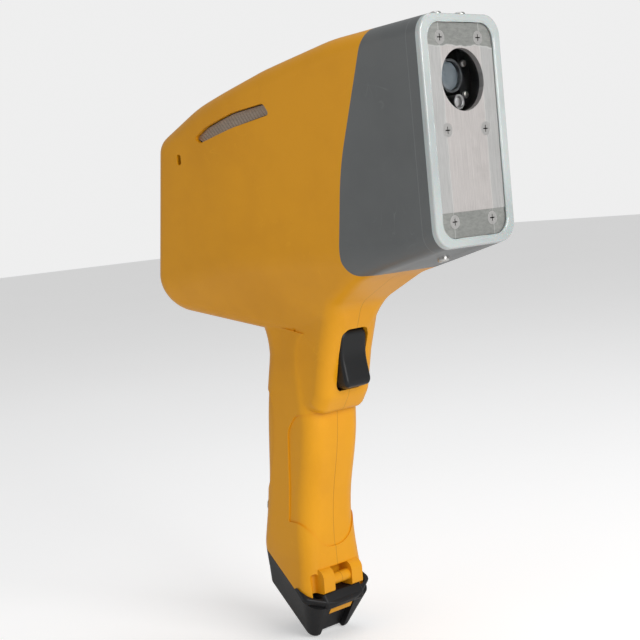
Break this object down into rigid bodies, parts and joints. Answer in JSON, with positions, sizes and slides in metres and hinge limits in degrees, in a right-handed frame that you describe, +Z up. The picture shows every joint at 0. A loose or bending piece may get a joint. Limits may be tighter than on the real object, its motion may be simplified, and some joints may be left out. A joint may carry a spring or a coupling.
{
  "type": "handheld elemental analyser",
  "caption": "Pistol-grip elemental scanner: wedge head with a windowed nose plate, screen and keys on the roof, pivoting trigger, slide-out battery in the grip.",
  "frame": {"origin": "centre of the face plate's front face, in the middle of the nose", "axes": "+X out of the nose, +Y the device's left, +Z up"},
  "size_m": [0.2314, 0.082, 0.3473],
  "materials": {
    "yellow_shell": "moulded, fine texture",
    "grey_cover": "moulded, satin",
    "pale_rim": "smooth moulded",
    "brushed_plate": "brushed",
    "steel_screw": "polished",
    "dark_frame": "black anodised",
    "dark_metal": "black anodised",
    "chassis_metal": "milled",
    "vent_metal": "brushed, tinted",
    "bright_metal": "bright",
    "brass_part": "gold plated",
    "seal_rubber": "moulded",
    "key_rubber": "moulded",
    "black_plastic": "moulded",
    "trigger_plastic": "satin",
    "battery_plastic": "moulded, fine texture",
    "yellow_latch": "moulded",
    "cell_wrap": "shrink sleeve",
    "board_green": "solder mask",
    "screen_glass": "dark cover glass",
    "lens_glass": "coated",
    "film": "thin clear film"
  },
  "bodies": {
    "housing": {"housing_left": "yellow_shell", "housing_right": "yellow_shell", "nose_cover": "grey_cover", "nose_bezel": "pale_rim", "face_plate": "brushed_plate", "face_plate_screws": "steel_screw", "nose_screws": "steel_screw", "nose_frame": "dark_frame", "window_film": "film", "window_gasket": "seal_rubber", "optics_block": "dark_frame", "optics_screws": "steel_screw", "objective_barrel": "dark_metal", "objective_lens": "lens_glass", "collimator_tube": "bright_metal", "chassis": "chassis_metal", "heat_spreader_left": "vent_metal", "heat_spreader_right": "vent_metal", "source_module": "bright_metal", "detector_module": "chassis_metal", "main_board": "board_green", "board_shields": "bright_metal", "board_standoffs": "brass_part", "buzzer": "black_plastic", "display_bezel": "black_plastic", "display_glass": "screen_glass", "display_module": "black_plastic", "key_domes": "bright_metal", "key_board": "board_green", "trigger_pin": "bright_metal", "trigger_switch": "black_plastic", "terminal_block": "black_plastic", "terminal_blades": "brass_part", "charging_socket": "bright_metal", "case_screws": "steel_screw"},
    "trigger": {"trigger": "trigger_plastic", "trigger_spring": "bright_metal"},
    "key_back": {"key_back": "key_rubber"},
    "key_power": {"key_power": "key_rubber"},
    "key_enter": {"key_enter": "key_rubber"},
    "battery": {"battery_case": "battery_plastic", "battery_foot": "battery_plastic", "battery_cells": "cell_wrap", "battery_board": "board_green", "battery_contacts": "brass_part"},
    "latch": {"latch_button": "yellow_latch", "latch_spring": "bright_metal"},
    "port_plug": {"port_plug": "seal_rubber"}
  },
  "joints": [
    {"name": "trigger_pull", "type": "hinge", "parent": "housing", "child": "trigger", "pos_m": [-0.1088, 0, -0.1075], "axis": [0, 1, 0], "range_deg": [0, 8], "stiffness_Nm_per_rad": 0.3, "springref_deg": -17.19},
    {"name": "key_back_press", "type": "slide", "parent": "housing", "child": "key_back", "axis": [0.375, 0, -0.927], "range_m": [0, 0.0008], "stiffness_N_per_m": 500, "springref_m": -0.001},
    {"name": "key_power_press", "type": "slide", "parent": "housing", "child": "key_power", "axis": [0.375, 0, -0.927], "range_m": [0, 0.0008], "stiffness_N_per_m": 500, "springref_m": -0.001},
    {"name": "key_enter_press", "type": "slide", "parent": "housing", "child": "key_enter", "axis": [0.375, 0, -0.927], "range_m": [0, 0.0008], "stiffness_N_per_m": 500, "springref_m": -0.001},
    {"name": "battery_slide", "type": "slide", "parent": "housing", "child": "battery", "axis": [-0.1822, 0, -0.9833], "range_m": [0, 0.095]},
    {"name": "latch_press", "type": "slide", "parent": "battery", "child": "latch", "axis": [-0.8365, 0, 0.548], "range_m": [0, 0.002], "stiffness_N_per_m": 600, "springref_m": -0.003},
    {"name": "port_plug_pull", "type": "slide", "parent": "housing", "child": "port_plug", "axis": [-0.9833, 0, 0.1822], "range_m": [0, 0.008]}
  ]
}
